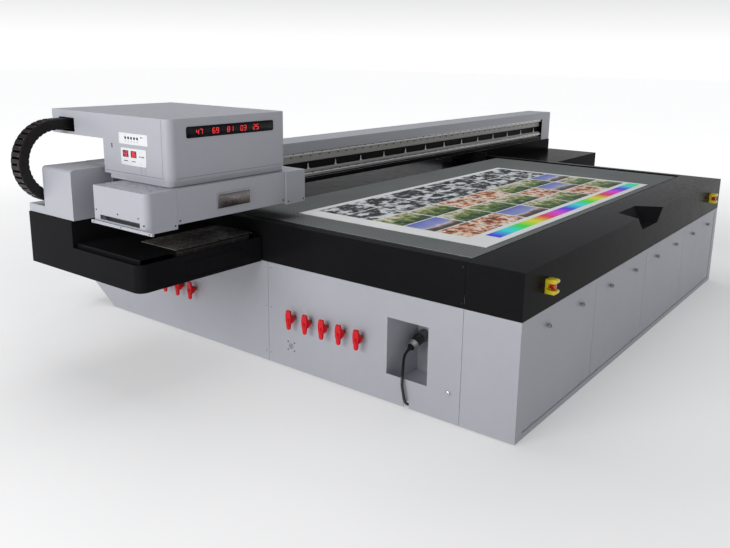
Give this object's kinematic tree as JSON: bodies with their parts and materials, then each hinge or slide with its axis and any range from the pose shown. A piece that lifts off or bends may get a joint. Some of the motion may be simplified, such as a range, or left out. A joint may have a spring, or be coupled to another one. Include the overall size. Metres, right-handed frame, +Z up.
{
  "type": "flatbed uv printer",
  "caption": "Large flatbed UV printer: vacuum table on a panelled base, a bridge that travels front to back and a print carriage with a cable chain.",
  "frame": {"origin": "floor level, under the middle of the whole machine in plan, with the bridge parked as it rests", "axes": "+X to the right along the front, +Y from the front to the rear, +Z up"},
  "size_m": [5.93, 3.352, 1.413],
  "materials": {
    "frame_steel": "satin dark grey paint on square steel tube",
    "foot_steel": "plated steel, matt",
    "light_panel": "fine-textured light grey powder coat",
    "fitting_metal": "small bright plated screws and lock",
    "recess_metal": "light grey painted sheet, darker in the recess",
    "grey_plastic": "ribbed grey moulding",
    "cord_black": "black rubber sheath, slight sheen",
    "plug_red": "red moulded plug with a dark grip",
    "valve_brass": "dull cast brass",
    "handle_red": "glossy red dipped handle",
    "table_grey": "dark hard-anodised plate with fine vacuum holes",
    "plenum_alu": "mill finish",
    "pump_blue": "hammered blue-grey paint",
    "black_cover": "black satin to gloss powder coat",
    "rail_steel": "ground steel",
    "cabinet_grey": "light grey paint",
    "board_white": "white board with printed pictures and a colour strip",
    "guard_yellow": "yellow moulding",
    "button_red": "red mushroom button",
    "beam_alu": "anodised extrusion",
    "rail_strip": "off-white strip with a row of bolt heads",
    "plate_brown": "glossy brown-grey flush plate",
    "plate_alu": "machined plate",
    "lamp_dark": "ribbed dark anodised lamp body",
    "tank_white": "translucent white tank",
    "display_black": "glossy black window with red digits",
    "control_white": "white control plate with small dark keys",
    "chain_black": "black nylon links",
    "head_dark": "dark print head bodies on a plate"
  },
  "bodies": {
    "base": {"base_frame": "frame_steel", "levelling_feet": "foot_steel", "front_surround": "light_panel", "left_side_panels": "light_panel", "right_side_panels": "light_panel", "rear_panel": "light_panel", "side_fittings": "fitting_metal", "cord_recess": "recess_metal", "power_inlet": "grey_plastic", "cord_plug": "grey_plastic", "mains_cord": "cord_black", "cord_coil": "cord_black", "wall_plug": "plug_red", "valve_manifold": "valve_brass", "table_top": "table_grey", "table_plenum": "plenum_alu", "vacuum_pumps": "pump_blue", "front_cover": "black_cover", "side_bands": "black_cover", "rear_deck": "black_cover", "y_rails": "rail_steel", "electric_cabinet": "cabinet_grey", "printed_board": "board_white", "stop_guards": "guard_yellow"},
    "bridge": {"bridge_beam": "beam_alu", "bridge_cover": "light_panel", "end_tower": "light_panel", "x_rails": "rail_strip", "left_tray": "black_cover", "right_tray": "black_cover", "bridge_legs": "rail_steel", "chain_trough": "light_panel", "chain_lower": "chain_black"},
    "carriage": {"carriage_plate": "plate_alu", "lamp_housings": "light_panel", "head_housing": "light_panel", "upper_cover": "light_panel", "front_display": "display_black", "side_controls": "control_white", "uv_lamps": "lamp_dark", "ink_tanks": "tank_white", "chain_upper": "chain_black"},
    "print_heads": {"print_heads": "head_dark"},
    "chain_loop": {"chain_bend": "chain_black"},
    "capping_station": {"capping_lift": "plate_brown"},
    "service_flap": {"service_flap": "black_cover"},
    "front_door_1": {"front_door_1": "light_panel"},
    "front_door_2": {"front_door_2": "light_panel"},
    "front_door_3": {"front_door_3": "light_panel"},
    "front_door_4": {"front_door_4": "light_panel"},
    "stop_button_1": {"stop_button_1": "button_red"},
    "stop_button_2": {"stop_button_2": "button_red"},
    "valve_handle_1": {"valve_handle_1": "handle_red"},
    "valve_handle_2": {"valve_handle_2": "handle_red"},
    "valve_handle_3": {"valve_handle_3": "handle_red"},
    "valve_handle_4": {"valve_handle_4": "handle_red"},
    "valve_handle_5": {"valve_handle_5": "handle_red"},
    "valve_handle_6": {"valve_handle_6": "handle_red"},
    "valve_handle_7": {"valve_handle_7": "handle_red"},
    "valve_handle_8": {"valve_handle_8": "handle_red"}
  },
  "joints": [
    {"name": "bridge_slide", "type": "slide", "parent": "base", "child": "bridge", "axis": [0, 1, 0], "range_m": [-1.38, 0.42]},
    {"name": "carriage_slide", "type": "slide", "parent": "bridge", "child": "carriage", "axis": [1, 0, 0], "range_m": [0, 4.55]},
    {"name": "chain_roll", "type": "slide", "parent": "carriage", "child": "chain_loop", "axis": [1, 0, 0], "range_m": [-2.275, 0], "deforming": ["chain_upper", "chain_lower"]},
    {"name": "head_lift", "type": "slide", "parent": "carriage", "child": "print_heads", "axis": [0, 0, 1], "range_m": [-0.058, 0]},
    {"name": "capping_lift_slide", "type": "slide", "parent": "bridge", "child": "capping_station", "axis": [0, 0, 1], "range_m": [0, 0.065]},
    {"name": "service_flap_hinge", "type": "hinge", "parent": "bridge", "child": "service_flap", "pos_m": [-2.384, -0.034, 0.611], "axis": [1, 0, 0], "range_deg": [0, 90]},
    {"name": "front_door_1_hinge", "type": "hinge", "parent": "base", "child": "front_door_1", "pos_m": [-1.555, -1.62, 0.04], "axis": [1, 0, 0], "range_deg": [0, 85]},
    {"name": "front_door_2_hinge", "type": "hinge", "parent": "base", "child": "front_door_2", "pos_m": [-0.735, -1.62, 0.04], "axis": [1, 0, 0], "range_deg": [0, 85]},
    {"name": "front_door_3_hinge", "type": "hinge", "parent": "base", "child": "front_door_3", "pos_m": [0.085, -1.62, 0.04], "axis": [1, 0, 0], "range_deg": [0, 85]},
    {"name": "front_door_4_hinge", "type": "hinge", "parent": "base", "child": "front_door_4", "pos_m": [0.905, -1.62, 0.04], "axis": [1, 0, 0], "range_deg": [0, 85]},
    {"name": "stop_button_1_press", "type": "slide", "parent": "base", "child": "stop_button_1", "axis": [0, 1, 0], "range_m": [0, 0.008], "stiffness_N_per_m": 600},
    {"name": "stop_button_2_press", "type": "slide", "parent": "base", "child": "stop_button_2", "axis": [0, 1, 0], "range_m": [0, 0.008], "stiffness_N_per_m": 600},
    {"name": "valve_1_turn", "type": "hinge", "parent": "base", "child": "valve_handle_1", "pos_m": [-2.075, -0.74, 0.308], "axis": [1, 0, 0], "range_deg": [0, 90]},
    {"name": "valve_2_turn", "type": "hinge", "parent": "base", "child": "valve_handle_2", "pos_m": [-2.075, -0.623, 0.308], "axis": [1, 0, 0], "range_deg": [0, 90]},
    {"name": "valve_3_turn", "type": "hinge", "parent": "base", "child": "valve_handle_3", "pos_m": [-2.075, -0.506, 0.308], "axis": [1, 0, 0], "range_deg": [0, 90]},
    {"name": "valve_4_turn", "type": "hinge", "parent": "base", "child": "valve_handle_4", "pos_m": [-2.075, -0.389, 0.308], "axis": [1, 0, 0], "range_deg": [0, 90]},
    {"name": "valve_5_turn", "type": "hinge", "parent": "base", "child": "valve_handle_5", "pos_m": [-2.075, -0.272, 0.308], "axis": [1, 0, 0], "range_deg": [0, 90]},
    {"name": "valve_6_turn", "type": "hinge", "parent": "base", "child": "valve_handle_6", "pos_m": [-2.075, 0.55, 0.308], "axis": [1, 0, 0], "range_deg": [0, 90]},
    {"name": "valve_7_turn", "type": "hinge", "parent": "base", "child": "valve_handle_7", "pos_m": [-2.075, 0.667, 0.308], "axis": [1, 0, 0], "range_deg": [0, 90]},
    {"name": "valve_8_turn", "type": "hinge", "parent": "base", "child": "valve_handle_8", "pos_m": [-2.075, 0.784, 0.308], "axis": [1, 0, 0], "range_deg": [0, 90]}
  ],
  "couplings": [
    {"joint": "chain_roll", "follows": "carriage_slide", "ratio": -0.5}
  ]
}
